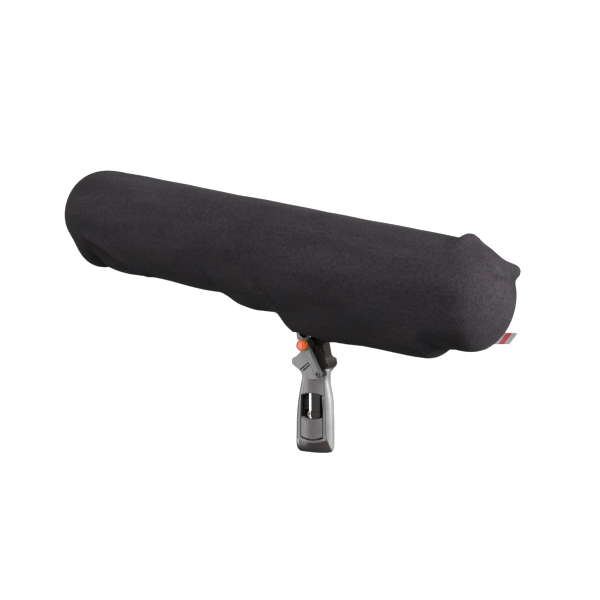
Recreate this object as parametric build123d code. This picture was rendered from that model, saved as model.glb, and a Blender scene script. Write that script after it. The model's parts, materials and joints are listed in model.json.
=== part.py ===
"""Long furry windscreen (blimp) on a tilting pistol grip, as an assembly of separate named solids.

Row frame: the origin is the centre of the boom thread's mouth in the base of the grip, +Z runs up the thread's axis,
-X is towards the nose of the windscreen and -Y is the side with the lock knob. Sizes are in millimetres.

Pod frame: its origin is the tilt pivot, x runs along the pod (nose at -x) and z is square to it. in_pod() carries a
shape from the pod frame into the row frame, at the rest tilt.
"""

from build123d import *
from math import cos, radians, sin, sqrt
import os

# --- Driving dimensions -------------------------------------------------------------------------------------------
REST_TILT = 8.2  # nose-up angle of the pod when its foot sits on the stop in the grip
PIVOT = (-5.0, 111.5)  # x and z of the tilt axis, which runs along Y
AXIS_H = 83.0  # pod axis above the pivot

POD_R = 50.0  # outside radius of the basket
WALL = 2.0  # basket wall
NOSE_X = -293.0  # centre of the nose dome, pod frame
TAIL_X = 163.0  # centre of the rear dome, pod frame
TAIL_DEPTH = 45.0  # how far the rear dome stands beyond its centre

COVER_R = 54.0  # outside radius of the fleece where it is pulled tight
COVER_T = 3.0  # fleece and pile
COVER_SLACK = 20.0  # how far the slack hangs below the tight line, at the grip

CHEEK_IN = 9.3  # inside face of the head's cheeks
CHEEK_OUT = 12.5  # outside face of the head's cheeks
HUB_HALF = 8.6  # half the width of the foot's hub
ARM_OUT = 17.5  # outside face of the clamp arm on the knob side
WASHER = (7.4, 1.4)  # radius and thickness of the black washer under the arm
KNUCKLE = (21.4, -15.7)  # pod frame, where the foot rests in the head
KNUCKLE_R = 5.9
LEG_FOOT, LEG_TOP = (20.2, -15.0), (4.2, 24.0)  # pod frame, ends of the rear leg's middle line
SCREW = (12.6, 82.7)  # row frame, lower fixing of the clamp arm
SCREW_R = 1.8
SPACER_R = 3.4
SPACER_IN = -5.0  # inner end of the spacer between the arm and the shell
BOLT_R = 2.5  # M5 pivot bolt
RUN = 0.05  # running clearance, per side

THREAD_R = 4.0  # 3/8 inch 16 thread, at its crests
THREAD_DEPTH = 16.0
CORE_R = 10.2  # polished core tube
MIC_R = 10.0  # microphone body held by the clips

# Grip sections: height, front x, rear x, half thickness
GRIP = (
    (0.0, -16.0, 17.4, 11.8),
    (3.0, -18.2, 19.7, 13.2),
    (12.0, -19.0, 20.4, 13.9),
    (28.0, -18.7, 20.3, 14.0),
    (46.0, -17.7, 19.8, 13.8),
    (58.0, -16.2, 18.6, 13.3),
    (68.0, -14.3, 16.4, 12.9),
    (77.0, -12.8, 15.4, 12.6),
    (87.0, -14.2, 15.7, 12.5),
)
FRONT_CORNER_R = 5.5
ROUND_X = -4.0  # where the flat sides pass into the rounded back
# Rear edge of the front pad, x and z
STRIP_EDGE = ((-14.9, 3.0), (-14.6, 12.0), (-14.0, 28.0), (-13.0, 46.0), (-12.1, 58.0), (-10.8, 68.0), (-9.8, 77.0))
PAD_T = 2.4  # rubber pads let into the shells
SHELL_T = 2.8
GROOVE_DEPTH = 2.6
BASE_LOW = 10.4  # height of the base cap's hollow rim at mid width
BASE_RIM_R = 40.0  # radius of that rim, seen from the side
PANEL_GAP = 0.25
PAD_GAP = 0.5  # open joint round each rubber pad
BEZEL = 0.9  # wall of the chassis where it lines the side openings
BEZEL_DEPTH = 0.7  # how far that wall stays below the grip's surface
WINDOW = (-11.3, 14.2, 12.5, 62.5)  # front x, rear x, lowest and highest point of the side opening
WALL_AT_PANEL = 13.2  # half thickness of the grip where the panel's lip starts
PANEL_TOP = 34.5  # lowest point of the badge panel's hollow top edge
ARCH_R = 30.0  # radius of the opening's curved ends

SHELL_SCREWS = ((-8.0, 82.0), (5.0, 81.4))  # x and z of the screws that join the shells
FOOT_SCREW_X = (-14.5, 12.0)  # pod frame

RAIL = (-205.0, 95.0, 39.5, 47.5)  # pod frame: x from, x to, z from, z to
RAIL_W = 22.0
LYRE_X = (-165.0, 55.0)
SLOT = (-21.0, 19.0)  # slot for the foot in the bottom of the basket
SLOT_W = 24.0
HEM_X = 0.0  # middle of the cover's opening for the foot
HEM_HALF_X, HEM_HALF_Y = 24.0, 13.5  # half its length and half its width
HEM_CORD_R = 1.2
LABEL_AT = (204.0, 20.0, 45.5)  # middle of the label, pod frame
LABEL_OUT, LABEL_SEAM = (0.80, 0.59, 0.11), (-0.36, -0.30, -0.88)  # the way it stands out, and along its seam
RING_W = 4.0  # flange of each joining ring
SLEEVE_W = 10.0  # how far a ring's sleeve reaches into its neighbours

TUBE = (NOSE_X + 12.0 + RING_W, TAIL_X - 8.0 - RING_W)


# --- Helpers ------------------------------------------------------------------------------------------------------
def in_pod(shape):
    """A shape in the pod frame, carried to its place at the rest tilt."""
    return Pos(PIVOT[0], 0, PIVOT[1]) * Rot(0, REST_TILT, 0) * shape


def block(x0, x1, y0, y1, z0, z1):
    """A box from its lowest and highest corners."""
    return Pos((x0 + x1) / 2, (y0 + y1) / 2, (z0 + z1) / 2) * Box(x1 - x0, y1 - y0, z1 - z0)


def along_y(radius, y0, y1, x=0.0, z=0.0):
    """A cylinder along Y."""
    return Pos(x, (y0 + y1) / 2, z) * Rot(90, 0, 0) * Cylinder(radius, y1 - y0)


def along_x(radius, x0, x1, z=0.0):
    """A cylinder along X."""
    return Pos((x0 + x1) / 2, 0, z) * Rot(0, 90, 0) * Cylinder(radius, x1 - x0)


def along_z(radius, z0, z1, x=0.0, y=0.0):
    """A cylinder along Z."""
    return Pos(x, y, (z0 + z1) / 2) * Cylinder(radius, z1 - z0)


def plate(sketch, y0, y1):
    """A flat shape drawn in x and z, given its thickness along Y."""
    return Pos(0, y1, 0) * extrude(Plane.XZ * sketch, amount=y1 - y0)


def outline(points, radii=None):
    """A closed outline through the points, with rounded corners where radii maps a corner's number to its radius."""
    face = make_face(Polyline(*points, close=True))
    for number, radius in (radii or {}).items():
        corner = min(face.vertices(), key=lambda v: (Vector(*points[number]) - v.center()).length)
        face = fillet(corner, radius)
    return face


def link(a, ra, b, rb):
    """A flat link with round ends, drawn in x and z."""
    dx, dz = b[0] - a[0], b[1] - a[1]
    length = sqrt(dx * dx + dz * dz)
    lean = (ra - rb) / length
    square = sqrt(1 - lean * lean)
    sides = []
    for side in (1, -1):
        nx = lean * dx / length - side * square * dz / length
        nz = lean * dz / length + side * square * dx / length
        sides.append((nx, nz))
    (ux, uz), (vx, vz) = sides
    quad = make_face(
        Polyline(
            (a[0] + ra * ux, a[1] + ra * uz),
            (b[0] + rb * ux, b[1] + rb * uz),
            (b[0] + rb * vx, b[1] + rb * vz),
            (a[0] + ra * vx, a[1] + ra * vz),
            close=True,
        )
    )
    return quad + Pos(*a) * Circle(ra) + Pos(*b) * Circle(rb)


def turned(points, x_shift=0.0):
    """A solid of revolution about the pod's axis, from points of (x, radius)."""
    profile = Plane.XZ * make_face(Polyline(*[(x + x_shift, r) for x, r in points], close=True))
    return Pos(0, 0, AXIS_H) * revolve(profile, Axis.X)


def tube_x(outer, inner, x0, x1):
    """A round tube along the pod's axis."""
    return along_x(outer, x0, x1, AXIS_H) - along_x(inner, x0 - 1, x1 + 1, AXIS_H)


def dome(radius, depth, x, side):
    """Half an ellipsoid about the pod's axis, bulging along side (-1 nose, 1 rear)."""
    curve = EllipticalCenterArc((0, 0), depth, radius, start_angle=0, arc_size=90)
    face = make_face([curve, Line((0, radius), (0, 0)), Line((0, 0), (depth, 0))])
    solid = revolve(Plane.XZ * face, Axis.X)
    if side < 0:
        solid = mirror(solid, Plane.YZ)
    return Pos(x, 0, AXIS_H) * solid


def capsule(radius, depth):
    """The closed outer shape of a pod: a cylinder with a round nose and a rear dome of the given depth."""
    nose = CenterArc((NOSE_X, 0), radius, 90, 90)
    tail = EllipticalCenterArc((TAIL_X, 0), depth, radius, start_angle=0, arc_size=90)
    top = Line((NOSE_X, radius), (TAIL_X, radius))
    axis = Line((NOSE_X - radius, 0), (TAIL_X + depth, 0))
    return Pos(0, 0, AXIS_H) * revolve(Plane.XZ * make_face([nose, top, tail, axis]), Axis.X)


# --- Grip ---------------------------------------------------------------------------------------------------------
def grip_body(inset=0.0):
    """The grip's outer shape, drawn in by inset."""
    sections = []
    for z, front, rear, half in GRIP:
        front, rear, half = front + inset, rear - inset, half - inset
        sides = [Line((ROUND_X, half), (front, half)), Line((front, half), (front, -half))]
        sides += [Line((front, -half), (ROUND_X, -half))]
        back = EllipticalCenterArc((ROUND_X, 0), rear - ROUND_X, half, start_angle=-90, arc_size=180)
        face = make_face(sides + [back])
        face = fillet(face.vertices().sort_by(Axis.X)[:2], max(1.0, FRONT_CORNER_R - inset))
        sections.append(Pos(0, 0, z) * face)
    return loft(sections)


def head_plate(side):
    """One cheek of the head. Both have a front horn, and the far one a rear horn too."""
    front = [(-8.0, 76.0), (-13.4, 84.4), (-23.6, 90.4), (-23.6, 95.8), (-17.6, 99.0), (-12.6, 103.6), (-9.6, 111.0)]
    if side < 0:
        rear = [(-3.0, 111.0), (9.0, 90.0), (8.4, 76.0)]
        radii = {1: 4.0, 2: 2.6, 3: 2.6, 4: 3.0, 5: 4.0}
        face = outline(front + rear, radii) + Pos(*PIVOT) * Circle(4.6)
    else:
        rear = [(2.0, 111.0), (8.0, 98.5), (10.6, 95.0), (12.6, 98.2), (16.8, 97.0), (16.4, 89.6), (8.0, 80.0)]
        radii = {1: 4.0, 2: 2.6, 3: 2.6, 4: 3.0, 5: 4.0, 8: 3.0, 9: 1.0, 10: 1.2, 11: 1.6, 12: 3.0}
        face = outline(front + rear, radii) + Pos(*PIVOT) * Circle(7.0)
    plate_y = (-CHEEK_OUT, 0) if side < 0 else (0, CHEEK_OUT)
    cheek = plate(face, *plate_y)
    rim = cheek.edges().filter_by_position(Axis.Y, side * CHEEK_OUT - 0.01, side * CHEEK_OUT + 0.01)
    return chamfer(rim, 0.6)


def head_channel():
    """The space between the cheeks that the foot swings in: open above and behind."""
    knuckle = to_row(KNUCKLE)
    way = link(PIVOT, 8.0, knuckle, KNUCKLE_R + 0.4)
    behind = (3 * knuckle[0] - 2 * PIVOT[0], 3 * knuckle[1] - 2 * PIVOT[1])
    above = outline([(-30.0, 102.8), (-8.0, 102.8), PIVOT, behind, (60.0, 140.0), (-30.0, 140.0)])
    return plate(way + above, -CHEEK_IN, CHEEK_IN)


def to_row(point):
    """A point of the pod frame, (x, z), in the row frame at rest."""
    t = radians(REST_TILT)
    x, z = point
    return (PIVOT[0] + x * cos(t) + z * sin(t), PIVOT[1] - x * sin(t) + z * cos(t))


def base_rim():
    """Everything below the base cap's hollow rim."""
    middle_x = 1.0
    ring = along_y(BASE_RIM_R, -30, 30, middle_x, BASE_LOW + BASE_RIM_R)
    return block(-40, 40, -30, 30, -10, BASE_LOW + BASE_RIM_R * 0.45) - ring


def side_opening(shrink=0.0, low=None, high=None):
    """The tall opening in each side of the grip, with bowed ends, as a prism along Y."""
    x0, x1, z0, z1 = WINDOW[0] + shrink, WINDOW[1] - shrink, low or WINDOW[2], high or WINDOW[3]
    middle = (x0 + x1) / 2
    strip = block(x0, x1, -30, 30, z0, z1)
    lower = along_y(ARCH_R, -30, 30, middle, z0 + shrink + ARCH_R)
    upper = along_y(ARCH_R, -30, 30, middle, z1 - shrink - ARCH_R)
    return strip & lower & upper


def rear_tongue(gap=0.0):
    """The rear pad's outline, seen from behind, as a prism along X."""
    half = [(1.5, 2.0), (5.4, 8.9), (7.1, 14.6), (7.9, 28.0), (7.9, 46.0), (7.6, 57.0), (6.3, 72.0), (6.6, 90.0)]
    edge = Spline(*[(y - gap, z) for y, z in half])
    sides = [edge, mirror(edge, Plane.YZ)]
    ends = [Line(sides[1] @ 0, edge @ 0), Line(sides[1] @ 1, edge @ 1)]
    return extrude(Plane.YZ * make_face(sides + ends), amount=40.0)


def front_strip(gap=0.0):
    """The front pad's extent, as a prism along Y whose rear edge runs nearly parallel to the grip's front."""
    edge = [(x - gap, z) for x, z in STRIP_EDGE]
    top = edge[-1][1] - gap
    edge[-1] = (edge[-1][0], top)
    return plate(outline([(-40.0, -1.0), (edge[0][0], -1.0)] + edge + [(-40.0, top)]), -30, 30)


def grip_parts():
    """The grip: shells, pads, base, core tube and their fasteners."""
    body = grip_body()
    skin = body - grip_body(PAD_T)
    base_zone = base_rim()
    channel = head_channel()
    screw_room = along_y(SPACER_R + 0.1, -30, SPACER_IN, *SCREW) + along_y(SCREW_R, -30, -0.9, *SCREW)
    cavity = grip_body(SHELL_T + PAD_T) & block(-40, 40, -30, 30, 16.0, 74.0)
    rear_pad = skin & rear_tongue(PAD_GAP)
    front_pad = (skin & front_strip(PAD_GAP)) - base_zone
    rear_recess = skin & rear_tongue()
    front_recess = skin & front_strip()
    rear_pad = rear_pad - channel - screw_room
    rear_pad = rear_pad.solids().sort_by(SortBy.VOLUME)[-1]
    front_pad = front_pad.solids().sort_by(SortBy.VOLUME)[-1]
    core_hole = along_z(CORE_R + RUN, 0, 78.0)
    holes = screw_room + along_y(BOLT_R + RUN, -30, 30, *PIVOT)
    grooves = head_grooves()

    shells = {}
    for name, side in (("left_grip_shell", -1), ("right_grip_shell", 1)):
        y_in, y_out = (-30, 0) if side < 0 else (0, 30)
        head = head_plate(side)
        half = body & block(-40, 40, y_in, y_out, -1, 86.0)
        half = half + head - channel - cavity - core_hole - side_opening() - base_zone
        half = half - rear_recess - front_recess - holes - grooves
        half = half - shell_screw_holes()
        shells[name] = half.solids().sort_by(SortBy.VOLUME)[-1]

    thread_hole = along_z(THREAD_R, -1, THREAD_DEPTH)
    base = (body & base_zone) - along_z(8.0, -1, 12.0) - core_hole - rear_recess
    core = along_z(CORE_R, 7.0, 77.5) - along_z(7.4, 18.5, 78.0) - along_z(8.0, 6.0, 12.0) - along_z(6.6, 6.0, 19.0)
    insert = along_z(8.0, 0, 12.0) + along_z(6.6, 12.0, 18.4) - thread_hole
    return shells | {
        "grip_chassis": chassis(body),
        "rear_grip_pad": rear_pad,
        "front_grip_pad": front_pad,
        "base_cap": base.solids().sort_by(SortBy.VOLUME)[-1],
        "core_tube": core,
        "thread_insert": insert,
        "core_collar": core_collar(),
        "collar_screws": collar_screws(),
        "shell_screws": shell_screws(),
        "left_badge_panel": badge_panel(body, -1),
        "right_badge_panel": badge_panel(body, 1),
    }


def chassis(body):
    """The black chassis round the core tube: it fills the shells' hollow and lines their side openings."""
    core = grip_body(SHELL_T + PAD_T + 0.05) & block(-40, 40, -30, 30, 16.05, 73.95)
    lining = (grip_body(BEZEL_DEPTH) & side_opening(0.05)) - side_opening(BEZEL) - grip_body(SHELL_T + PAD_T + 0.6)
    tube_room = along_z(CORE_R + RUN, 0, 90) + along_z(CORE_R + 2.2, 35.5, 44.0)
    frame = core + (lining & block(-40, 40, -30, 30, 16.05, 73.95)) - tube_room - rear_tongue()
    return frame.solids().sort_by(SortBy.VOLUME)[-1]


def head_grooves():
    """Two shallow grooves across the front horn, on both faces."""
    cuts = Part()
    for x, z, length in ((-6.6, 89.6, 16.5), (-3.6, 88.4, 13.0)):
        cuts += Pos(x, 0, z) * Rot(0, -38, 0) * Box(length, 60, 1.5)
    return cuts - block(-60, 60, -CHEEK_OUT + GROOVE_DEPTH, CHEEK_OUT - GROOVE_DEPTH, 0, 200)


def badge_panel(body, side):
    """The panel that closes the lower part of a side opening; its gap below shows as a dark curved line."""
    y0, y1 = (-30, 0) if side < 0 else (0, 30)
    panel = (body - grip_body(SHELL_T + PAD_T - 0.05)) & block(-40, 40, y0, y1, 10, 60)
    panel = panel & side_opening(BEZEL + PANEL_GAP)
    middle = (WINDOW[0] + WINDOW[1]) / 2
    hollow = along_y(ARCH_R, -30, 30, middle, PANEL_TOP + ARCH_R)
    gap = along_y(ARCH_R, -30, 30, middle, WINDOW[2] + 2.0 + ARCH_R)
    lip_y = side * (WALL_AT_PANEL + 0.3)
    lip = Pos(middle, lip_y, PANEL_TOP + ARCH_R) * Rot(-90 * side, 0, 0) * Cone(ARCH_R, ARCH_R + 2.4, 2.4)
    panel = (panel - hollow - lip) & gap
    panel = panel - along_z(CORE_R + 0.3, 0, 80) - rear_tongue()
    return panel.solids().sort_by(SortBy.VOLUME)[-1]


def core_collar():
    """A slotted collar on the core tube, seen through the side openings."""
    collar = along_z(CORE_R + 1.0, 37.0, 42.5) - along_z(CORE_R + RUN, 30, 50)
    collar = chamfer(collar.edges().filter_by(GeomType.CIRCLE).sort_by(SortBy.RADIUS)[-2:], 0.4)
    for turn in range(0, 360, 30):
        collar -= Rot(0, 0, turn + 8) * block(CORE_R + 0.6, CORE_R + 3, -1.0, 1.0, 38.2, 41.3)
    return collar - Rot(0, 0, -103) * block(0, 20, -1.7, 1.7, 37.9, 41.7) - Rot(0, 0, 103) * block(
        0, 20, -1.7, 1.7, 37.9, 41.7
    )


def collar_screws():
    """Two grub screws that lock the collar, one on each side."""
    screws = []
    for turn in (-103, 103):
        screw = along_x(1.5, CORE_R + 0.1, CORE_R + 1.5) - along_x(0.7, CORE_R + 0.9, CORE_R + 3)
        screws.append(Rot(0, 0, turn) * Pos(0, 0, 39.8) * screw)
    return Compound(children=screws)


def shell_screw_holes():
    """Counterbored holes for the screws that hold the two shells together, from the far side."""
    holes = Part()
    for x, z in SHELL_SCREWS:
        holes += along_y(1.25, -7.0, 30, x, z) + along_y(2.6, 9.0, 30, x, z)
    return holes


def shell_screws():
    """The screws that hold the two shells together."""
    screws = []
    for x, z in SHELL_SCREWS:
        screw = along_y(1.25, -6.9, 9.0, x, z) + along_y(2.5, 9.0, 10.8, x, z)
        screw -= Pos(x, 10.8, z) * Box(3.4, 1.6, 0.8) + Pos(x, 10.8, z) * Box(0.8, 1.6, 3.4)
        screws.append(screw)
    return Compound(children=screws)


def clamp_parts():
    """The arm that clamps the head on the knob side, its screw and washer, the pivot bolt and its friction washers."""
    washer_r, washer_t = WASHER
    washer_out = -CHEEK_OUT - washer_t
    bolt_hole = along_y(BOLT_R + RUN, -40, 40, *PIVOT)
    arm = plate(link(PIVOT, 4.2, SCREW, 3.3), -ARM_OUT, -CHEEK_OUT)
    arm = chamfer(arm.edges().filter_by_position(Axis.Y, -ARM_OUT - 0.1, -ARM_OUT + 0.1), 0.6)
    arm = arm - bolt_hole - along_y(SCREW_R, -40, 40, *SCREW) - along_y(3.0, -ARM_OUT - 1, -ARM_OUT + 1.6, *SCREW)
    arm -= along_y(washer_r + 0.1, washer_out, 0, *PIVOT)
    washer = along_y(washer_r, washer_out, -CHEEK_OUT, *PIVOT) - bolt_hole
    for turn in range(0, 360, 24):
        notch = Pos(PIVOT[0], 0, PIVOT[1]) * Rot(0, turn, 0) * block(washer_r - 0.7, washer_r + 1, -40, 0, -0.5, 0.5)
        washer -= notch

    spacer = along_y(SPACER_R, -CHEEK_OUT, SPACER_IN - 0.05, *SCREW) - along_y(SCREW_R, -40, 40, *SCREW)
    screw = along_y(SCREW_R, -ARM_OUT + 1.6, -1.0, *SCREW) + along_y(2.8, -ARM_OUT - 0.4, -ARM_OUT + 1.6, *SCREW)
    socket = extrude(RegularPolygon(1.5, 6), amount=1.3, both=True)
    socket = Pos(SCREW[0], -ARM_OUT - 0.5, SCREW[1]) * Rot(90, 0, 0) * socket
    bolt = along_y(BOLT_R, -21.6, CHEEK_OUT, *PIVOT) + hex_along_y(4.4, CHEEK_OUT, CHEEK_OUT + 3.4, *PIVOT)
    washers = {}
    for name, side in (("left_friction_washer", -1), ("right_friction_washer", 1)):
        y0, y1 = sorted((side * (HUB_HALF + 0.2), side * (CHEEK_IN - 0.02)))
        washers[name] = along_y(6.8, y0, y1, *PIVOT) - bolt_hole
    return washers | {
        "lock_washer": washer,
        "clamp_arm": arm,
        "arm_spacer": spacer,
        "arm_screw": screw - socket,
        "pivot_bolt": bolt,
    }


def hex_along_y(across_corner_r, y0, y1, x, z):
    """A hexagonal prism along Y."""
    return plate(Pos(x, z) * RegularPolygon(across_corner_r, 6), y0, y1)


def knob_parts():
    """The lock knob and the brass nut moulded into it."""
    y_face, y_back, rim_r, face_r = -23.2, -ARM_OUT - 0.3, 5.8, 4.9
    profile = outline([(0, y_back), (rim_r, y_back), (rim_r, y_face + 1.6), (face_r, y_face), (0, y_face)], {3: 0.6})
    knob = Pos(PIVOT[0], 0, PIVOT[1]) * revolve(profile, Axis.Y)
    for turn in range(0, 360, 20):
        notch = Pos(PIVOT[0], 0, PIVOT[1]) * Rot(0, turn, 0) * along_y(0.55, y_face + 1.6, y_back + 1, rim_r + 0.2, 0)
        knob -= notch
    knob -= along_y(4.3, y_face - 1, y_face + 0.9, *PIVOT) - along_y(3.1, y_face - 1, y_face + 2, *PIVOT)
    nut_y = -ARM_OUT - 0.3 - 4.0
    seat = along_y(3.5, nut_y, 0, *PIVOT)
    nut = along_y(3.5, nut_y, y_back, *PIVOT) - along_y(BOLT_R + RUN, -40, 0, *PIVOT)
    return {"lock_knob": knob - seat, "knob_nut": nut}


# --- Foot and suspension ------------------------------------------------------------------------------------------
def foot_parts():
    """The foot that carries the pod: hub, web, knuckle and two legs up to the rail."""
    hub = along_y(7.4, -HUB_HALF, HUB_HALF)
    web = plate(link((0, 0), 5.4, KNUCKLE, 5.6), -7.0, 7.0)
    knuckle = along_y(KNUCKLE_R, -8.0, 8.0, *KNUCKLE)
    leg = plate(link(LEG_FOOT, 3.4, LEG_TOP, 4.7), -5.6, 5.6)
    front_leg = [(-6.0, -4.0), (-16.8, 2.0), (-18.4, 8.0), (-20.5, 23.0), (-17.2, 23.0), (-15.0, 8.6), (-13.6, 6.0),
                 (-3.0, 3.6)]
    front_leg = plate(outline(front_leg), -6, 6)
    saddle = block(-20.0, 17.5, -10.0, 10.0, 22.0, RAIL[2])
    saddle = fillet(saddle.edges().filter_by(Axis.Z), 4.0)
    foot = hub + web + knuckle + leg + front_leg + saddle
    lean = Vector(LEG_TOP[0] - LEG_FOOT[0], 0, LEG_TOP[1] - LEG_FOOT[1])
    for offset in (-2.4, 0.0, 2.4):
        for y in (-5.6, 5.6):
            foot -= flute(lean, offset, y)
    foot -= along_y(3.9, -20, 20)
    for x in FOOT_SCREW_X:
        foot -= along_z(2.2, 10, 60, x) + along_z(4.0, 18, 25.0, x)
    bush = along_y(3.9, -HUB_HALF, HUB_HALF) - along_y(BOLT_R + RUN, -20, 20)
    return {"pivot_foot": foot, "pivot_bush": bush}


def flute(lean, offset, y):
    """One long groove down a side of the rear leg."""
    side = Vector(lean.Z, 0, -lean.X).normalized() * offset
    middle = Vector(LEG_FOOT[0], 0, LEG_FOOT[1]) + lean * 0.52 + side
    turn = Vector(0, 0, 1).get_signed_angle(lean, Vector(0, 1, 0))
    return Pos(middle.X, y, middle.Z) * Rot(0, turn, 0) * Box(1.1, 2.4, 27.0)


def foot_screws():
    """The screws that hold the foot to the rail."""
    screws = []
    for x in FOOT_SCREW_X:
        screws.append(along_z(2.0, 25.0, 44.0, x) + along_z(3.8, 22.6, 25.0, x) - along_z(1.6, 20, 24.0, x))
    return Compound(children=screws)


def rail():
    """The rail under the microphone, with a dovetail for the lyre shoes."""
    x0, x1, z0, z1 = RAIL
    half = RAIL_W / 2
    section = outline(
        [(-half, z0), (half, z0), (half, z1 - 3), (half - 2.5, z1 - 3), (half - 2.5, z1 - 5), (half - 5, z1 - 5),
         (half - 5, z1), (5 - half, z1), (5 - half, z1 - 5), (2.5 - half, z1 - 5), (2.5 - half, z1 - 3), (-half, z1 - 3)]
    )
    bar = Pos(x0, 0, 0) * extrude(Plane.YZ * section, amount=x1 - x0)
    for x in FOOT_SCREW_X:
        bar -= along_z(2.05, 30, 44.05, x)
    return bar


def lyre_parts():
    """Each suspension: a shoe on the rail, a lyre-shaped spring and a clip for the microphone."""
    z1 = RAIL[3]
    top = RAIL_W / 2 - 5
    parts = {}
    for name, x in zip(("front", "rear"), LYRE_X):
        shoe = block(x - 9, x + 9, -13.5, 13.5, z1 - 4.9, z1 + 5.0)
        shoe -= block(x - 20, x + 20, -top - RUN, top + RUN, z1 - 10, z1)
        shoe -= block(x - 20, x + 20, -RAIL_W / 2 + 2.4, RAIL_W / 2 - 2.4, z1 - 10, z1 - 2.9)
        for side in (-1, 1):
            shoe -= block(x - 20, x + 20, *sorted((side * (RAIL_W / 2 - 2.5), side * 20)), z1 - 10, z1 - 2.9)
        shoe -= along_z(1.6, z1 - 10, z1 + 10, x)
        parts[f"{name}_lyre_shoe"] = shoe

        arms = Sketch()
        for side in (-1, 1):
            path = Spline(
                (side * 4.0, z1 + 6.6), (side * 22.0, z1 + 12.0), (side * 31.0, z1 + 30.0), (side * 24.5, z1 + 46.0),
                (side * 17.5, z1 + 38.0), (side * 13.4, AXIS_H),
            )
            arms += trace(path, 3.0)
        arms += Pos(0, z1 + 6.6) * Rectangle(16.0, 3.2)
        ring = Circle(MIC_R + 4.0) - Circle(MIC_R + 2.0)
        jaws = Pos(0, AXIS_H) * (ring - Pos(0, 15) * Rectangle(22, 20))
        spring = Pos(x - 5, 0, 0) * extrude(Plane.YZ * (arms + jaws), amount=10.0)
        spring = spring - along_z(1.6, 0, z1 + 12, x) - shoe
        parts[f"{name}_lyre"] = (spring - along_x(MIC_R + 2.0, x - 20, x + 20, AXIS_H)).solids().sort_by(SortBy.VOLUME)[-1]

        clip = tube_x(MIC_R + 2.0, MIC_R, x - 8, x + 8) - block(x - 9, x + 9, -7.5, 7.5, AXIS_H, AXIS_H + 20)
        parts[f"{name}_mic_clip"] = clip
    return parts


def lyre_screws():
    """The screws that hold each lyre to its shoe."""
    z1 = RAIL[3]
    screws = []
    for x in LYRE_X:
        screws.append(along_z(1.5, z1 + 0.4, z1 + 8.2, x) + along_z(2.8, z1 + 8.2, z1 + 10.0, x))
    return Compound(children=screws)


# --- Basket -------------------------------------------------------------------------------------------------------
def slot_cut(margin=0.0):
    """The slot for the foot, through the bottom of whatever surrounds the pod's axis."""
    x0, x1, half = SLOT[0] - margin, SLOT[1] + margin, SLOT_W / 2 + margin
    cut = block(x0, x1, -half, half, -40.0, AXIS_H - 30.0)
    return fillet(cut.edges().filter_by(Axis.Z), 6.0)


def basket_tube():
    """The middle of the basket: a lattice tube with a slot for the foot."""
    x0, x1 = TUBE
    tube = tube_x(POD_R, POD_R - WALL, x0, x1)
    around, rows = 10, 13
    margin = 12.0
    pitch = (x1 - x0 - 2 * margin) / rows
    cutters = []
    for row in range(rows):
        x = x0 + margin + pitch * (row + 0.5)
        for n in range(around):
            if n == 0 and SLOT[0] - 20 < x < SLOT[1] + 20:
                continue
            hole = Pos(x, 0, -POD_R) * Box(pitch - 5.0, 24.0, 12.0)
            cutters.append(Pos(0, 0, AXIS_H) * Rot(360 / around * n, 0, 0) * hole)
    return tube - cutters - slot_cut()


def net(outer, x0, x1):
    """The fine net that lines the basket tube."""
    return tube_x(outer, outer - 0.6, x0, x1) - slot_cut()


def joining_ring(x, near, far):
    """A ring between the tube and an end cap: a flange flush with the basket, and a sleeve inside both."""
    inside = POD_R - WALL
    points = [
        (x - near, inside - 2.5), (x + RING_W + far, inside - 2.5), (x + RING_W + far, inside),
        (x + RING_W, inside), (x + RING_W, POD_R), (x, POD_R), (x, inside), (x - near, inside),
    ]
    return turned(points)


def end_cap(x, rim, depth, side, slots):
    """A domed end cap with a short straight rim and radial slots."""
    inside = POD_R - WALL
    x0, x1 = sorted((x, x - side * rim))
    cap = dome(POD_R, depth, x, side) - dome(inside, depth - WALL, x, side)
    cap += tube_x(POD_R, inside, x0, x1)
    cutters = []
    for n in range(slots):
        cut = block(*sorted((x + side * depth * 0.12, x + side * depth * 1.2)), -3.4, 3.4, 14.0, POD_R - 6.0)
        cutters.append(Pos(0, 0, AXIS_H) * Rot(360 / slots * n, 0, 0) * cut)
    return cap - cutters


def cap_net(x, depth, side):
    """The net that lines an end cap."""
    outer = POD_R - WALL
    return dome(outer, depth - WALL, x, side) - dome(outer - 0.6, depth - WALL - 0.6, x, side)


def basket_parts():
    """The basket around the microphone: tube, caps, rings and nets."""
    front_ring_x = TUBE[0] - RING_W
    return {
        "basket_tube": basket_tube(),
        "basket_net": net(POD_R - WALL, TUBE[0] + SLEEVE_W, TUBE[1] - SLEEVE_W),
        "front_ring": joining_ring(front_ring_x, SLEEVE_W, SLEEVE_W),
        "rear_ring": joining_ring(TUBE[1], SLEEVE_W, 6.0),
        "front_cap": end_cap(NOSE_X, front_ring_x - NOSE_X, POD_R, -1, 12),
        "rear_cap": end_cap(TAIL_X, TAIL_X - TUBE[1] - RING_W, TAIL_DEPTH, 1, 12),
        "front_cap_net": cap_net(NOSE_X, POD_R, -1),
        "rear_cap_net": cap_net(TAIL_X, TAIL_DEPTH, 1),
    }


# --- Cover --------------------------------------------------------------------------------------------------------
def keel(drop, half):
    """The slack of the cover, hanging under the pod and deepest at the grip."""
    top = AXIS_H - 20.0
    low = AXIS_H - COVER_R
    side = outline(
        [(-62.0, top), (-50.0, low - 0.25 * drop), (-24.0, low - drop), (34.0, low - drop),
         (148.0, low - 0.5 * drop), (160.0, top)],
        {1: 14.0, 2: 10.0, 3: 30.0, 4: 10.0},
    )
    slab = plate(side, -half, half)
    floor_edges = slab.edges().filter_by_position(Axis.Z, -50, low - 0.1).filter_by(lambda e: abs(abs(e.center().Y) - half) < 0.01)
    return fillet(floor_edges, half * 0.45)


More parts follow.
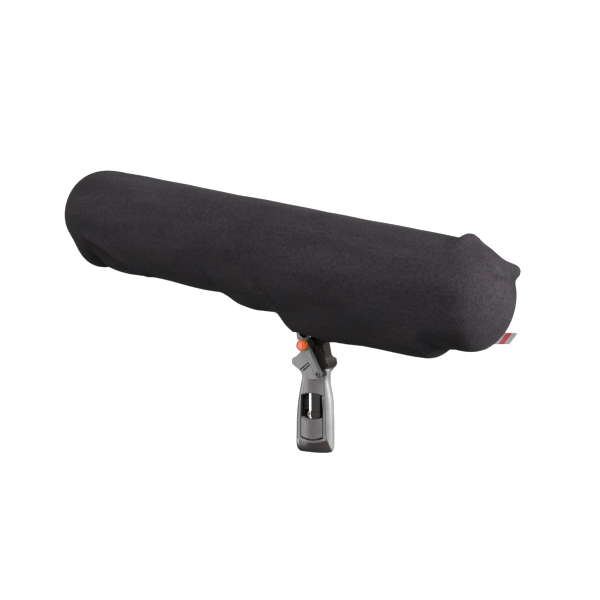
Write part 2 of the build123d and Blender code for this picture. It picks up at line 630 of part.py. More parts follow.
def fleece_cover():
    """The fleece sock over the basket, closed at both ends, with an opening for the foot."""
    outer = capsule(COVER_R, TAIL_DEPTH + COVER_R - POD_R) + keel(COVER_SLACK, 27.0)
    inner = capsule(COVER_R - COVER_T, TAIL_DEPTH + COVER_R - POD_R - COVER_T) + keel(COVER_SLACK - COVER_T, 24.0)
    return outer - inner - hem_opening(HEM_HALF_X, HEM_HALF_Y)


def hem_opening(half_x, half_y):
    """The opening in the bottom of the cover, with round ends."""
    shape = Pos(HEM_X, 0) * SlotOverall(2 * half_x, 2 * half_y)
    return Pos(0, 0, -10) * extrude(shape, amount=AXIS_H - 40.0)


def hem_elastic():
    """The elastic cord run round the opening's hem."""
    inset = HEM_CORD_R + 0.15
    z = AXIS_H - COVER_R - COVER_SLACK + COVER_T / 2
    shape = Pos(HEM_X, 0) * SlotOverall(2 * (HEM_HALF_X - inset), 2 * (HEM_HALF_Y - inset))
    path = Pos(0, 0, z) * shape.wire()
    start = path @ 0
    return sweep(Plane(origin=start, z_dir=path % 0) * Circle(HEM_CORD_R), path=path)


def label():
    """The folded label sewn into the seam low on the rear end, standing out of the fleece."""
    sheet = Plane(origin=LABEL_AT, x_dir=LABEL_OUT, z_dir=Vector(*LABEL_OUT).cross(Vector(*LABEL_SEAM)))
    flap = sheet * Box(17.0, 12.5, 1.2)
    return flap - capsule(COVER_R + 0.1, TAIL_DEPTH + COVER_R - POD_R + 0.1)


# --- Writing ------------------------------------------------------------------------------------------------------
def pod_parts():
    """Everything that tilts with the windscreen, in the pod frame."""
    return foot_parts() | lyre_parts() | basket_parts() | {
        "foot_screws": foot_screws(),
        "suspension_rail": rail(),
        "lyre_screws": lyre_screws(),
        "fleece_cover": fleece_cover(),
        "hem_elastic": hem_elastic(),
        "cover_label": label(),
    }


def main():
    os.makedirs("parts", exist_ok=True)
    parts = grip_parts() | clamp_parts() | knob_parts()
    parts |= {name: in_pod(shape) for name, shape in pod_parts().items()}
    for name, shape in parts.items():
        export_step(shape, f"parts/{name}.step")


main()
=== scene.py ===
"""The looks of the long furry windscreen on its pistol grip.

Sizes here are in millimetres in the pod frame, as in the CAD source, until to_row() turns them into metres
in the row frame. The pod frame's origin is the tilt pivot, x runs along the pod (nose at -x) and z is square
to it.
"""

import json
import math

import bmesh
import bpy
import numpy as np
from mathutils import Matrix, Vector


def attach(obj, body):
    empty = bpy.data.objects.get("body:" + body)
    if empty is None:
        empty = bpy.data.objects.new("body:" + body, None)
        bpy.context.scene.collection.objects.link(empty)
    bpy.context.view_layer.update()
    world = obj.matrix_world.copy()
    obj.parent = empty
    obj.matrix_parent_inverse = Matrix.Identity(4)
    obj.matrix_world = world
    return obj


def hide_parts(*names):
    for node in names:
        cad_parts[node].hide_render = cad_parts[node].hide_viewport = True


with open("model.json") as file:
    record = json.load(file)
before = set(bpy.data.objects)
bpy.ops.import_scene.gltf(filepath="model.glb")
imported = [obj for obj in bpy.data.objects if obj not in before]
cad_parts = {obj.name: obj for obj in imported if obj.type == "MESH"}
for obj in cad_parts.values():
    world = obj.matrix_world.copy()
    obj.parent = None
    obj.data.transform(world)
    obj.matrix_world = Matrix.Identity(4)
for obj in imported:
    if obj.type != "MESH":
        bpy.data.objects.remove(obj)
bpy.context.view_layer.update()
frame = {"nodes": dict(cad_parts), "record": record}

# --- Driving dimensions ---------------------------------------------------------------------------
MM = 0.001
REST_TILT = math.radians(8.2)
AXIS_H = 83.0
COVER_R = 54.0
NOSE_X = -293.0
TAIL_X = 163.0
TAIL_DEPTH = 50.0
NOSE_POWER, TAIL_POWER = 0.92, 0.88  # how full the ends are: 1 is round, and less is squarer
CLOTH_T = 2.0
AROUND, ALONG = 168, 270  # points round the cover, and from its nose to its tail
HEM_X, HEM_HALF_X, HEM_HALF_Y = 0.0, 24.0, 13.5
HEM_TUCK = 1.0  # how far the hem is turned in
LABEL_ROOT = (201.0, 18.0, 46.5)
LABEL_OUT, LABEL_SEAM = (0.80, 0.59, 0.11), (-0.36, -0.30, -0.88)
LABEL_LENGTH, LABEL_W, LABEL_GAP = 14.5, 13.5, 1.2
BAND_FROM, BAND_TO = 5.0, 10.0  # the label's red band, along it from its seam

JOINTS = {joint["name"]: joint for joint in frame["record"]["behaviour"]["joints"]}
PIVOT = Vector(JOINTS["tilt"]["pos_m"])

# The studio's light from all round, from straight down (0) to straight up (1), and its softboxes:
# name, place, what it faces, size and power
WORLD_STRENGTH = 1.75
WORLD_STEPS = ((0.0, 0.20), (0.42, 0.22), (0.60, 0.46), (0.80, 0.72), (1.0, 0.62))
LIGHTS = (
    ("key", (0.35, -2.0, 2.1), (-0.05, 0, 0.2), (1.4, 1.4), 36),
    ("tail_fill", (2.1, 0.45, 0.45), (0.15, 0, 0.2), (0.8, 1.0), 98),
    ("streak", (-1.58, -1.25, -0.05), (0, 0, 0.08), (1.0, 0.9), 36),
)
# The side that the world's light comes from; it falls to BACK_LEVEL of its strength on the other side
FRONT = (0.707, -0.707, 0.0)
BACK_LEVEL = 0.5
REFLECTION_ONLY = "streak"  # the softbox that makes no light of its own, and shows only where it is reflected
FLOOR_GLOW = 0.45

CAMERA_AT = (0.8905, -1.2556, 0.2917)
CAMERA_AZIMUTH, CAMERA_ELEVATION = 36.0, 5.0
CAMERA_LENS = 90.05


def to_row(points):
    """Points in the pod frame, in millimetres, as points in the row frame, in metres."""
    p = np.asarray(points, float) * MM
    c, s = math.cos(REST_TILT), math.sin(REST_TILT)
    x, y, z = p[..., 0], p[..., 1], p[..., 2]
    return np.stack([PIVOT.x + x * c + z * s, PIVOT.y + y, PIVOT.z - x * s + z * c], axis=-1)


# --- Materials ------------------------------------------------------------------------------------
def new_material(name, colour, rough=0.6, metallic=0.0, specular=0.5, coat=0.0, sheen=0.0, sheen_rough=0.5):
    """A Principled material, its node tree and its shader."""
    material = bpy.data.materials.new(name)
    material.use_nodes = True
    tree = material.node_tree
    shader = tree.nodes["Principled BSDF"]
    shader.inputs["Base Color"].default_value = (*colour, 1)
    shader.inputs["Roughness"].default_value = rough
    shader.inputs["Metallic"].default_value = metallic
    shader.inputs["Specular IOR Level"].default_value = specular
    shader.inputs["Coat Weight"].default_value = coat
    shader.inputs["Coat Roughness"].default_value = 0.08
    shader.inputs["Sheen Weight"].default_value = sheen
    shader.inputs["Sheen Roughness"].default_value = sheen_rough
    return material, tree, shader


def object_noise(tree, scale, detail=3.0, rough=0.55, stretch=(1, 1, 1)):
    """Noise in object coordinates, which are metres; scale is in blotches per metre."""
    coords = tree.nodes.new("ShaderNodeTexCoord")
    mapping = tree.nodes.new("ShaderNodeMapping")
    mapping.inputs["Scale"].default_value = stretch
    noise = tree.nodes.new("ShaderNodeTexNoise")
    noise.inputs["Scale"].default_value = scale
    noise.inputs["Detail"].default_value = detail
    noise.inputs["Roughness"].default_value = rough
    tree.links.new(coords.outputs["Object"], mapping.inputs["Vector"])
    tree.links.new(mapping.outputs["Vector"], noise.inputs["Vector"])
    return noise.outputs["Fac"]


def ramp(tree, value, stops):
    """A colour ramp over value, from (position, colour) stops."""
    node = tree.nodes.new("ShaderNodeValToRGB")
    elements = node.color_ramp.elements
    while len(elements) < len(stops):
        elements.new(0.5)
    for element, (position, colour) in zip(elements, stops):
        element.position = position
        element.color = (*colour, 1)
    tree.links.new(value, node.inputs["Fac"])
    return node.outputs["Color"]


def mix(tree, a, b, fac, blend="MIX"):
    """Two colours mixed; fac is a number or a socket."""
    node = tree.nodes.new("ShaderNodeMix")
    node.data_type = "RGBA"
    node.blend_type = blend
    if isinstance(fac, float):
        node.inputs[0].default_value = fac
    else:
        tree.links.new(fac, node.inputs[0])
    for socket, colour in ((node.inputs[6], a), (node.inputs[7], b)):
        if isinstance(colour, tuple):
            socket.default_value = (*colour, 1)
        else:
            tree.links.new(colour, socket)
    return node.outputs[2]


def scaled(tree, value, low, high):
    """A value from 0 to 1, mapped to low to high."""
    node = tree.nodes.new("ShaderNodeMapRange")
    node.inputs["To Min"].default_value = low
    node.inputs["To Max"].default_value = high
    tree.links.new(value, node.inputs["Value"])
    return node.outputs["Result"]


def bump(tree, shader, heights):
    """Bumps in a chain, from (height socket, strength, depth in metres)."""
    normal = None
    for height, strength, depth in heights:
        node = tree.nodes.new("ShaderNodeBump")
        node.inputs["Strength"].default_value = strength
        node.inputs["Distance"].default_value = depth
        tree.links.new(height, node.inputs["Height"])
        if normal is not None:
            tree.links.new(normal, node.inputs["Normal"])
        normal = node.outputs["Normal"]
    tree.links.new(normal, shader.inputs["Normal"])


def fleece_material():
    """Charcoal fleece with a short nap: streaks where the nap lies differently, clumps and fine fibre."""
    charcoal = (0.03, 0.028, 0.031)
    material, tree, shader = new_material("fleece", charcoal, 0.95, specular=0.1, sheen=0.03, sheen_rough=0.5)
    shader.inputs["Sheen Tint"].default_value = (0.62, 0.6, 0.66, 1)
    streak = object_noise(tree, 34, 3.0, 0.6, (0.22, 1, 1))
    hue = object_noise(tree, 42, 2.0, 0.5)
    nap = object_noise(tree, 420, 3.0, 0.62)
    fibre = object_noise(tree, 1250, 2.0, 0.7)
    base = ramp(tree, streak, [(0.30, (0.0180, 0.0162, 0.0186)), (0.52, (0.0250, 0.0225, 0.0259)),
                               (0.72, (0.0335, 0.0305, 0.0350))])
    warm = mix(tree, base, (0.036, 0.024, 0.029), scaled(tree, hue, -0.50, 0.75))
    clumps = ramp(tree, nap, [(0.30, (0.66, 0.66, 0.66)), (0.5, (1.0, 1.0, 1.0)), (0.70, (1.42, 1.42, 1.44))])
    colour = mix(tree, warm, clumps, 1.0, "MULTIPLY")
    tree.links.new(colour, shader.inputs["Base Color"])
    bump(tree, shader, [(nap, 0.45, 0.0008), (fibre, 0.5, 0.0005)])
    return material


def moulded_material(name, colour, rough, grain=1500, strength=0.25, wear=0.12, specular=0.5, coat=0.0):
    """Moulded plastic or rubber: fine grain, and soft patches of lighter and rougher handling wear."""
    material, tree, shader = new_material(name, colour, rough, specular=specular, coat=coat)
    patch = object_noise(tree, 60, 3.0)
    fine = object_noise(tree, grain, 2.0, 0.6)
    dark = tuple(c * (1 - wear) for c in colour)
    light = tuple(min(1.0, c * (1 + wear)) for c in colour)
    tree.links.new(ramp(tree, patch, [(0.3, dark), (0.7, light)]), shader.inputs["Base Color"])
    tree.links.new(scaled(tree, patch, rough - 0.08, rough + 0.1), shader.inputs["Roughness"])
    bump(tree, shader, [(fine, strength, 0.00015)])
    return material


def metal_material(name, colour, rough, stretch=(1, 1, 30)):
    """Turned or brushed metal, with its scratches along one direction."""
    material, tree, shader = new_material(name, colour, rough, metallic=1.0)
    lines = object_noise(tree, 700, 3.0, 0.6, stretch)
    tree.links.new(scaled(tree, lines, rough * 0.7, rough * 1.35), shader.inputs["Roughness"])
    bump(tree, shader, [(lines, 0.08, 0.0001)])
    return material


def black_barrel_material():
    """Polished black anodised tube, which shows the lights as narrow streaks."""
    material, tree, shader = new_material("black_barrel", (0.120, 0.112, 0.105), 0.14, metallic=1.0)
    lines = object_noise(tree, 900, 2.0, 0.5, (1, 1, 0.05))
    tree.links.new(scaled(tree, lines, 0.08, 0.20), shader.inputs["Roughness"])
    bump(tree, shader, [(lines, 0.05, 0.0001)])
    return material


def net_material():
    """Fine black net: a woven height pattern over a soft black."""
    material, tree, shader = new_material("fine_net", (0.03, 0.03, 0.032), 0.8)
    wave = tree.nodes.new("ShaderNodeTexWave")
    wave.inputs["Scale"].default_value = 380
    coords = tree.nodes.new("ShaderNodeTexCoord")
    tree.links.new(coords.outputs["Object"], wave.inputs["Vector"])
    bump(tree, shader, [(wave.outputs["Fac"], 0.6, 0.0004)])
    colour = ramp(tree, wave.outputs["Fac"], [(0.2, (0.012, 0.012, 0.013)), (0.8, (0.05, 0.05, 0.052))])
    tree.links.new(colour, shader.inputs["Base Color"])
    return material


def tape_material(name, colour):
    """Woven ribbon: fine ribs across it, with threads that vary a little in colour."""
    material, tree, shader = new_material(name, colour, 0.6, sheen=0.2)
    threads = object_noise(tree, 900, 2.0, 0.5, (1, 1, 4))
    dark = tuple(c * 0.8 for c in colour)
    tree.links.new(ramp(tree, threads, [(0.35, dark), (0.65, colour)]), shader.inputs["Base Color"])
    bump(tree, shader, [(threads, 0.5, 0.0003)])
    return material


def paint(materials, nodes):
    """Gives each CAD node its material."""
    for node, material in nodes.items():
        slots = frame["nodes"][node].data.materials
        slots.clear()
        slots.append(materials[material])


# --- Cover ----------------------------------------------------------------------------------------
# How far the cover hangs below the tight line, along the pod: (x, slack)
SLACK = (
    (-150, 0.0), (-122, 0.5), (-105, 3.0), (-92, 7.0), (-75, 8.6), (-60, 7.0), (-50, 6.0), (-43, 7.0),
    (-37, 11.5), (-30, 18.0), (-22, 22.0), (2, 23.0), (22, 22.5), (45, 20.4), (62, 18.2), (90, 16.4),
    (125, 15.0), (141, 13.2), (147, 11.0), (152, 6.5), (157, 1.5), (164, 0.0),
)
# Radius of the belly's bottom, along the pod: (x, radius)
HANG = ((-150, 40.0), (-100, 34.0), (-50, 24.0), (40, 24.0), (90, 32.0), (140, 44.0), (170, 46.0))
NOSE_LIFT = 6.0  # how far the nose's tip is pulled up by the cover's shape


def profile():
    """Evenly spaced points along the cover's outline, as x and radius, from the nose to the tail."""
    angles = np.linspace(0, math.pi / 2, 200)
    nose_cos, nose_sin = np.cos(angles) ** NOSE_POWER, np.sin(angles) ** NOSE_POWER
    tail_cos, tail_sin = np.cos(angles) ** TAIL_POWER, np.sin(angles) ** TAIL_POWER
    nose = np.stack([NOSE_X - COVER_R * nose_cos, COVER_R * nose_sin], 1)
    tail = np.stack([TAIL_X + TAIL_DEPTH * tail_sin, COVER_R * tail_cos], 1)
    line = np.concatenate([nose, tail])
    steps = np.concatenate([[0], np.cumsum(np.linalg.norm(np.diff(line, axis=0), axis=1))])
    at = np.linspace(0, steps[-1], ALONG + 2)[1:-1]
    return np.interp(at, steps, line[:, 0]), np.interp(at, steps, line[:, 1])


def section(radius, slack, hang_r):
    """A cross-section's points, as y and z from the pod's axis, evenly spaced from the top round by -Y."""
    low_r = min(hang_r, radius * hang_r / COVER_R)
    drop = radius + slack - low_r
    lean = math.acos(min(1.0, (radius - low_r) / max(drop, radius - low_r + 1e-6)))
    upper = np.linspace(0, math.pi - lean, 160)
    lower = np.linspace(math.pi - lean, math.pi, 60)
    y = np.concatenate([radius * np.sin(upper), low_r * np.sin(lower)])
    z = np.concatenate([radius * np.cos(upper), low_r * np.cos(lower) - drop])
    y, z = np.concatenate([-y, y[::-1][1:]]), np.concatenate([z, z[::-1][1:]])
    steps = np.concatenate([[0], np.cumsum(np.hypot(np.diff(y), np.diff(z)))])
    at = np.linspace(0, steps[-1], AROUND + 1)[:-1]
    return np.interp(at, steps, y), np.interp(at, steps, z)


def smooth_slack(x):
    """The slack at each x, with its corners rounded off."""
    xs = np.linspace(-360, 260, 1241)
    raw = np.interp(xs, [p[0] for p in SLACK], [p[1] for p in SLACK])
    window = np.hanning(25)
    soft = np.convolve(raw, window / window.sum(), mode="same")
    return np.interp(x, xs, soft)


def grid_normals(p):
    """Outward normals of a grid of points that closes on itself along its second axis."""
    along = np.gradient(p, axis=0)
    around = np.roll(p, -1, axis=1) - np.roll(p, 1, axis=1)
    n = np.cross(along, around)
    n /= np.linalg.norm(n, axis=2, keepdims=True) + 1e-12
    centre = np.stack([p[..., 0], np.zeros(p.shape[:2]), np.full(p.shape[:2], AXIS_H)], -1)
    flip = np.sign(np.sum(n * (p - centre), axis=2, keepdims=True))
    return n * np.sign(flip.mean())


def bump_at(p, centre, size, height):
    """A soft hump about a point, of the given half-width in x, y and z."""
    d = (p - np.array(centre, float)) / np.array(size, float)
    return height * np.exp(-np.sum(d * d, axis=2))


def fold(p, route, above, rise, rise_w, drop, drop_w, fade=12.0):
    """A fold along a route: the cloth stands up on the side that above points to, and is tucked in below."""
    best = np.full(p.shape[:2], 1e9)
    signed = np.zeros(p.shape[:2])
    total, travelled = 0.0, np.zeros(p.shape[:2])
    route = [np.array(point, float) for point in route]
    for a, b in zip(route, route[1:]):
        ab = b - a
        length = np.linalg.norm(ab)
        t = np.clip(((p - a) @ ab) / length**2, 0, 1)
        off = p - (a + t[..., None] * ab)
        distance = np.linalg.norm(off, axis=2)
        nearer = distance < best
        best = np.where(nearer, distance, best)
        signed = np.where(nearer, off @ np.array(above, float), signed)
        travelled = np.where(nearer, total + t * length, travelled)
        total += length
    ends = np.clip(np.minimum(travelled, total - travelled) / fade, 0, 1)
    ends = ends * ends * (3 - 2 * ends)
    up = rise * np.exp(-((best / rise_w) ** 2))
    down = (rise + drop) * np.exp(-((best / (0.35 * drop_w)) ** 2)) - drop * np.exp(-((best / drop_w) ** 2))
    return ends * np.where(signed >= 0, up, down)


def ripples(x, around):
    """Low, wide unevenness of a soft cover over a smooth pod."""
    wave = 0.50 * np.sin(x / 31 + 1.7 * np.sin(around * 2 + 0.6)) * np.sin(around * 3 + x / 90)
    wave += 0.35 * np.sin(x / 19 - around * 4 + 1.1) * np.cos(x / 57 + around)
    wave += 0.22 * np.sin(x / 11 + around * 7) * np.sin(x / 43 + 2.0)
    return wave


def tail_fullness(p, x):
    """The cover stands a few millimetres off the pod at its tail, more so low down."""
    grow = np.clip((x - 172) / 22, 0, 1)
    low = np.clip((AXIS_H - p[..., 2]) / COVER_R, -1, 1)
    return grow * (2.0 + 1.8 * low)


def cover_points():
    """The cover's surface as a grid of points in the pod frame."""
    xs, radii = profile()
    slack = smooth_slack(xs) * np.clip(radii / COVER_R, 0, 1) ** 2
    rows = []
    hang_r = np.interp(xs, [step[0] for step in HANG], [step[1] for step in HANG])
    for x, radius, hang, low_r in zip(xs, radii, slack, hang_r):
        y, z = section(radius, hang, low_r)
        rows.append(np.stack([np.full(AROUND, x), y, z + AXIS_H], 1))
    p = np.array(rows)
    n = grid_normals(p)
    x = p[..., 0]
    around = np.arctan2(-p[..., 1], p[..., 2] - AXIS_H)
    away = ripples(x, around) * np.clip((x + 340) / 30, 0, 1) * np.clip((208 - x) / 30, 0, 1)
    away = away + tail_fullness(p, x)
    for feature in cover_features(p):
        away = away + feature
    p = p + n * away[..., None]
    p[..., 2] += NOSE_LIFT * np.clip((NOSE_X - 4 - p[..., 0]) / COVER_R, 0, 1) ** 1.5
    return p


def cover_features(p):
    """The folds and bumps of the cover."""
    under = (0, 0.35, 0.94)
    nose_fold = [(-290, -52, 68), (-268, -50, 62), (-248, -44, 52), (-233, -37, 44), (-219, -28, 37),
                 (-206, -16, 32)]
    front_fold = [(-112, -49, 62), (-106, -44, 50), (-103, -34, 38), (-103, -18, 30)]
    grip_fold = [(-56, -50, 62), (-46, -46, 46), (-36, -38, 30), (-30, -26, 18)]
    belly_fold = [(60, -44, 44), (105, -42, 36), (150, -30, 26)]
    ear_fold = [(196, 36, 106), (203, 24, 106.5), (206, 6, 108), (203, -10, 110), (196, -24, 112)]
    tail_tuck = [(158, -34, 38), (157, -24, 29), (156, -6, 23), (156, 14, 22)]
    return [
        # Nose: two lobes of spare cloth under it, and the fold that runs back and down from it
        bump_at(p, (-303, -20, 30), (14, 34, 14), 4.0),
        bump_at(p, (-254, -10, 30), (26, 34, 16), 3.2),
        bump_at(p, (-284, -20, 36), (5, 34, 14), -5.0),
        bump_at(p, (-322, -34, 52), (14, 22, 14), -2.4),
        fold(p, nose_fold, under, 3.2, 6, 5.5, 15),
        # Slack above the grip
        bump_at(p, (-75, -30, 32), (30, 30, 16), 1.6),
        bump_at(p, (-118, -10, 28), (16, 40, 14), -2.2),
        fold(p, front_fold, (1, 0, 0.2), 1.6, 9, 2.4, 10),
        fold(p, grip_fold, (-0.8, 0, 0.6), 2.2, 9, 2.6, 11),
        fold(p, belly_fold, under, 1.6, 14, 0.6, 10),
        # Tail: the rim pushes the cloth up at the top, and the spare cloth is pleated into an ear at the seam
        bump_at(p, (120, 0, 138), (60, 60, 14), 1.2),
        bump_at(p, (165, 0, 138), (6.5, 24, 11), 6.2),
        bump_at(p, (154, -8, 137), (3.0, 22, 10), -1.2),
        bump_at(p, (188, 0, 126), (12, 34, 12), -2.2),
        bump_at(p, (203, 27, 113), (9, 12, 8), 7.4),
        fold(p, ear_fold, (0.2, 0, 0.98), 2.0, 9, 1.6, 9),
        bump_at(p, (176, 0, 27), (10, 40, 10), -1.8),
        # Low at the tail: a tuck between the slack and the end of the pod
        fold(p, tail_tuck, (-1, 0, 0), 0.5, 7, 0.6, 8),
    ]


def in_hem(x, y, margin=0.0):
    """True inside the opening for the foot, which is a slot with round ends."""
    half = HEM_HALF_X - HEM_HALF_Y
    dx = max(abs(x - HEM_X) - half, 0.0)
    return math.hypot(dx, y) < HEM_HALF_Y + margin


def make_cover(material):
    """The fleece cover, as a closed two-sided shell, and the edge of its opening as a loop of points."""
    p = cover_points()
    mesh = bmesh.new()
    row_verts = [[mesh.verts.new(v) for v in row] for row in to_row(p)]
    ends = [mesh.verts.new(to_row(p[i].mean(axis=0))) for i in (0, -1)]
    for i in range(ALONG - 1):
        for j in range(AROUND):
            k = (j + 1) % AROUND
            quad = p[[i, i, i + 1, i + 1], [j, k, k, j]].mean(axis=0)
            if quad[2] < AXIS_H - 30 and in_hem(quad[0], quad[1]):
                continue
            mesh.faces.new((row_verts[i][j], row_verts[i][k], row_verts[i + 1][k], row_verts[i + 1][j]))
    for end, row, flip in ((ends[0], row_verts[0], True), (ends[1], row_verts[-1], False)):
        for j in range(AROUND):
            a, b = row[j], row[(j + 1) % AROUND]
            mesh.faces.new((end, b, a) if flip else (end, a, b))
    bmesh.ops.delete(mesh, geom=[v for v in mesh.verts if not v.link_faces], context="VERTS")
    settle_hem(mesh)
    bmesh.ops.recalc_face_normals(mesh, faces=mesh.faces)
    hem = hem_points(mesh)
    data = bpy.data.meshes.new("fleece_cover_soft")
    mesh.to_mesh(data)
    mesh.free()
    data.polygons.foreach_set("use_smooth", [True] * len(data.polygons))
    cover = add_object("fleece_cover_soft", data, material)
    shell = cover.modifiers.new("thickness", "SOLIDIFY")
    shell.thickness = CLOTH_T * MM
    shell.offset = -1
    return cover, hem


def underside(x, y):
    """The height of the cover's underside at a place near its middle line."""
    low_r = np.interp(x, [step[0] for step in HANG], [step[1] for step in HANG])
    return AXIS_H - COVER_R - float(smooth_slack(x)) + low_r - math.sqrt(low_r**2 - y**2)


def settle_hem(mesh):
    """Moves the ragged edge of the opening onto the slot's outline."""
    half = HEM_HALF_X - HEM_HALF_Y
    inverse = Matrix.Translation(PIVOT) @ Matrix.Rotation(REST_TILT, 4, "Y")
    back = inverse.inverted()
    for v in mesh.verts:
        if not v.is_boundary:
            continue
        q = (back @ v.co) / MM
        cx = HEM_X + min(max(q.x - HEM_X, -half), half)
        away = Vector((q.x - cx, q.y))
        if away.length < 1e-6:
            continue
        away *= HEM_HALF_Y / away.length
        place = Vector((cx + away.x, away.y, underside(cx + away.x, away.y)))
        v.co = inverse @ (place * MM)


def hem_points(mesh):
    """The opening's edge as a closed loop of points."""
    edges = [e for e in mesh.edges if e.is_boundary]
    loop = [edges[0].verts[0], edges[0].verts[1]]
    while True:
        onward = [e.other_vert(loop[-1]) for e in loop[-1].link_edges if e.is_boundary]
        onward = [v for v in onward if v is not loop[-2]]
        if not onward or onward[0] is loop[0]:
            break
        loop.append(onward[0])
    return [v.co.copy() for v in loop]


def add_object(name, data, material):
    """A new object for a mesh or curve, with its material."""
    obj = bpy.data.objects.new(name, data)
    bpy.context.scene.collection.objects.link(obj)
    data.materials.append(material)
    return obj


def make_hem(points, material):
    """The hem rolled over the elastic, round the opening."""
    curve = bpy.data.curves.new("cover_hem", "CURVE")
    curve.dimensions = "3D"
    spline = curve.splines.new("POLY")
    keep = points[::2]
    spline.points.add(len(keep) - 1)
    for target, point in zip(spline.points, keep):
        target.co = (*(point + Vector((0, 0, HEM_TUCK * MM))), 1)
    spline.use_cyclic_u = True
    curve.bevel_depth = 1.4 * MM
    curve.bevel_resolution = 5
    hem = add_object("cover_hem", curve, material)
    return to_mesh_object(hem)


def to_mesh_object(obj):
    """Replaces a curve object with a mesh object of the same shape."""
    data = bpy.data.meshes.new_from_object(obj.evaluated_get(bpy.context.evaluated_depsgraph_get()))
    name = obj.name
    bpy.data.objects.remove(obj)
    data.polygons.foreach_set("use_smooth", [True] * len(data.polygons))
    new = bpy.data.objects.new(name, data)
    bpy.context.scene.collection.objects.link(new)
    return new


# --- Label ----------------------------------------------------------------------------------------
def make_label(tape, band):
    """The folded ribbon label: two layers that meet in a round fold, with one plain band across it."""
    out, seam = Vector(LABEL_OUT).normalized(), Vector(LABEL_SEAM).normalized()
    up = out.cross(seam).normalized()
    half = LABEL_GAP / 2
    run = [(-2.0 + k * (LABEL_LENGTH + 2.0) / 14, half) for k in range(15)]
    turn = [math.pi / 2 - math.pi * k / 8 for k in range(1, 8)]
    fold_points = [(LABEL_LENGTH + half * math.cos(a), half * math.sin(a)) for a in turn]
    path = run + fold_points + [(along, -off) for along, off in reversed(run)]
    mesh = bmesh.new()
    rows = []
    for along, off in path:
        row = []
        for k in range(13):
            across = LABEL_W * (k / 12 - 0.5)
            curl = 0.9 * math.sin(along / 5.5) * math.cos(across / 5.0) + 0.06 * along * across / LABEL_W
            point = Vector(LABEL_ROOT) + out * along + seam * across + up * (off + curl)
            row.append(mesh.verts.new(to_row(point)))
        rows.append(row)
    for (along, off), row, onward in zip(path, rows, rows[1:]):
        for k in range(12):
            face = mesh.faces.new((row[k], row[k + 1], onward[k + 1], onward[k]))
            face.material_index = 1 if BAND_FROM < along < BAND_TO else 0
    data = bpy.data.meshes.new("label_ribbon")
    mesh.to_mesh(data)
    mesh.free()
    data.polygons.foreach_set("use_smooth", [True] * len(data.polygons))
    label = add_object("label_ribbon", data, tape)
    data.materials.append(band)
    shell = label.modifiers.new("thickness", "SOLIDIFY")
    shell.thickness = 0.45 * MM
    return label


# --- Stage ----------------------------------------------------------------------------------------
def make_camera():
    """The camera, looking as the photograph does."""
    azimuth, elevation = math.radians(CAMERA_AZIMUTH), math.radians(CAMERA_ELEVATION)
    level = math.cos(elevation)
    back = Vector((math.sin(azimuth) * level, -math.cos(azimuth) * level, math.sin(elevation)))
    data = bpy.data.cameras.new("camera")
    data.lens = CAMERA_LENS
    camera = bpy.data.objects.new("camera", data)
    camera.location = CAMERA_AT
    camera.rotation_euler = back.to_track_quat("Z", "Y").to_euler()
    bpy.context.scene.collection.objects.link(camera)
    bpy.context.scene.camera = camera


def make_floor():
    """A plain white floor that curves up into a backdrop on every side. It is seen, and lights nothing."""
    flat_r, curve_r, low, spokes, steps = 5.0, 3.0, -0.6, 96, 20
    outline = [(flat_r * k / 4, low) for k in range(1, 5)]
    for k in range(1, steps + 1):
        a = math.pi / 2 * k / steps
        outline.append((flat_r + curve_r * math.sin(a), low + curve_r * (1 - math.cos(a))))
    mesh = bmesh.new()
    turns = np.linspace(0, math.tau, spokes, False)
    rows = [[mesh.verts.new((r * math.cos(t), r * math.sin(t), z)) for t in turns] for r, z in outline]
    mesh.faces.new(rows[0])
    for row, onward in zip(rows, rows[1:]):
        for j in range(spokes):
            k = (j + 1) % spokes
            mesh.faces.new((row[j], onward[j], onward[k], row[k]))
    data = bpy.data.meshes.new("floor")
    mesh.to_mesh(data)
    mesh.free()
    data.polygons.foreach_set("use_smooth", [True] * len(data.polygons))
    material, tree, shader = new_material("white_floor", (0.8, 0.8, 0.8), 0.9, specular=0.0)
    shader.inputs["Emission Color"].default_value = (1, 1, 1, 1)
    shader.inputs["Emission Strength"].default_value = FLOOR_GLOW
    floor = add_object("floor", data, material)
    floor.visible_diffuse = floor.visible_glossy = floor.visible_shadow = False


def area_light(name, at, look, size, power):
    """A softbox at a place, facing a point."""
    data = bpy.data.lights.new(name, "AREA")
    data.shape = "RECTANGLE"
    data.size, data.size_y = size
    data.energy = power
    light = bpy.data.objects.new(name, data)
    light.location = at
    light.rotation_euler = (Vector(at) - Vector(look)).to_track_quat("Z", "Y").to_euler()
    bpy.context.scene.collection.objects.link(light)


def make_lights():
    """White studio light: a soft surround, strongest in front, and the softboxes."""
    world = bpy.data.worlds.new("studio")
    world.use_nodes = True
    tree = world.node_tree
    coords = tree.nodes.new("ShaderNodeTexCoord")
    split = tree.nodes.new("ShaderNodeSeparateXYZ")
    tree.links.new(coords.outputs["Generated"], split.inputs[0])
    height = scaled(tree, split.outputs["Z"], 0.0, 1.0)
    height.node.inputs["From Min"].default_value = -1.0
    sky = ramp(tree, height, [(step, (level, level, level)) for step, level in WORLD_STEPS])
    facing = tree.nodes.new("ShaderNodeVectorMath")
    facing.operation = "DOT_PRODUCT"
    facing.inputs[1].default_value = FRONT
    tree.links.new(coords.outputs["Generated"], facing.inputs[0])
    front = scaled(tree, facing.outputs["Value"], BACK_LEVEL, 1.0)
    front.node.inputs["From Min"].default_value = -1.0
    tree.links.new(mix(tree, sky, front, 1.0, "MULTIPLY"), tree.nodes["Background"].inputs["Color"])
    tree.nodes["Background"].inputs["Strength"].default_value = WORLD_STRENGTH
    bpy.context.scene.world = world
    for name, at, look, size, power in LIGHTS:
        area_light(name, at, look, size, power)
    bpy.data.objects[REFLECTION_ONLY].visible_diffuse = False
    bpy.context.scene.view_settings.view_transform = "Standard"


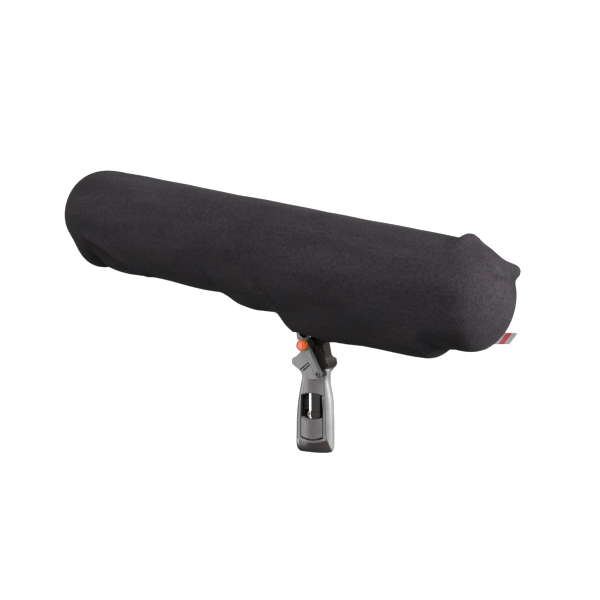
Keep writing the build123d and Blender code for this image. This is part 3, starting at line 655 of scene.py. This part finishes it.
# --- Assembly -------------------------------------------------------------------------------------
def main():
    """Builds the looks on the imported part."""
    make_camera()
    make_floor()
    make_lights()
    materials = {
        "panel": moulded_material("panel_grey", (0.135, 0.125, 0.133), 0.36),
        "light": moulded_material("light_rubber", (0.165, 0.167, 0.163), 0.42, 1300, 0.35),
        "dark": moulded_material("dark_rubber", (0.030, 0.028, 0.030), 0.6, 1300, 0.35),
        "brown": moulded_material("brown_rubber", (0.020, 0.0165, 0.015), 0.26, 1300, 0.25, coat=0.4),
        "arm": moulded_material("arm_grey", (0.085, 0.083, 0.088), 0.36),
        "orange": moulded_material("orange_knob", (0.86, 0.15, 0.012), 0.42, 1600, 0.15, 0.08),
        "nylon": moulded_material("black_nylon", (0.012, 0.011, 0.011), 0.42, specular=0.3),
        "foot": moulded_material("gloss_nylon", (0.016, 0.013, 0.010), 0.2, 1600, 0.1, specular=0.45),
        "barrel": black_barrel_material(),
        "screw": metal_material("black_screw", (0.045, 0.045, 0.045), 0.35, (1, 1, 1)),
        "steel": metal_material("steel", (0.56, 0.56, 0.57), 0.3),
        "brass": metal_material("brass", (0.72, 0.52, 0.24), 0.3),
        "washer": moulded_material("washer_nylon", (0.03, 0.03, 0.03), 0.5),
        "net": net_material(),
        "tape": tape_material("label_tape", (0.30, 0.28, 0.285)),
        "tape_red": tape_material("label_band", (0.30, 0.02, 0.032)),
        "fleece": fleece_material(),
    }
    paint(materials, {
        # Grip
        "left_grip_shell": "panel", "right_grip_shell": "panel",
        "left_badge_panel": "panel", "right_badge_panel": "panel",
        # The chassis's black is partly its own colour and partly painted shade: it darkens the inside of the
        # grip's windows.
        "rear_grip_pad": "light", "front_grip_pad": "panel", "base_cap": "brown", "grip_chassis": "nylon",
        "core_tube": "barrel", "core_collar": "barrel", "collar_screws": "screw",
        "thread_insert": "brass", "shell_screws": "screw",
        # Tilt head
        # arm_spacer is painted black as painted shade: its black stands for the shadow round the clamp arm's
        # lower end.
        "clamp_arm": "arm", "lock_washer": "nylon", "arm_screw": "screw", "arm_spacer": "nylon",
        "pivot_bolt": "steel", "left_friction_washer": "washer", "right_friction_washer": "washer",
        "lock_knob": "orange", "knob_nut": "brass", "pivot_foot": "foot", "pivot_bush": "brass",
        # Suspension
        "foot_screws": "steel", "suspension_rail": "nylon", "lyre_screws": "steel",
        "front_lyre_shoe": "nylon", "rear_lyre_shoe": "nylon", "front_lyre": "nylon", "rear_lyre": "nylon",
        "front_mic_clip": "dark", "rear_mic_clip": "dark",
        # Basket
        "basket_tube": "nylon", "basket_net": "net", "front_ring": "nylon", "rear_ring": "nylon",
        "front_cap": "nylon", "rear_cap": "nylon", "front_cap_net": "net", "rear_cap_net": "net",
    })
    cover, hem_loop = make_cover(materials["fleece"])
    hem = make_hem(hem_loop, materials["fleece"])
    label = make_label(materials["tape"], materials["tape_red"])
    for piece, node in ((cover, "fleece_cover"), (hem, "hem_elastic"), (label, "cover_label")):
        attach(piece, "windshield")
        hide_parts(node)


main()
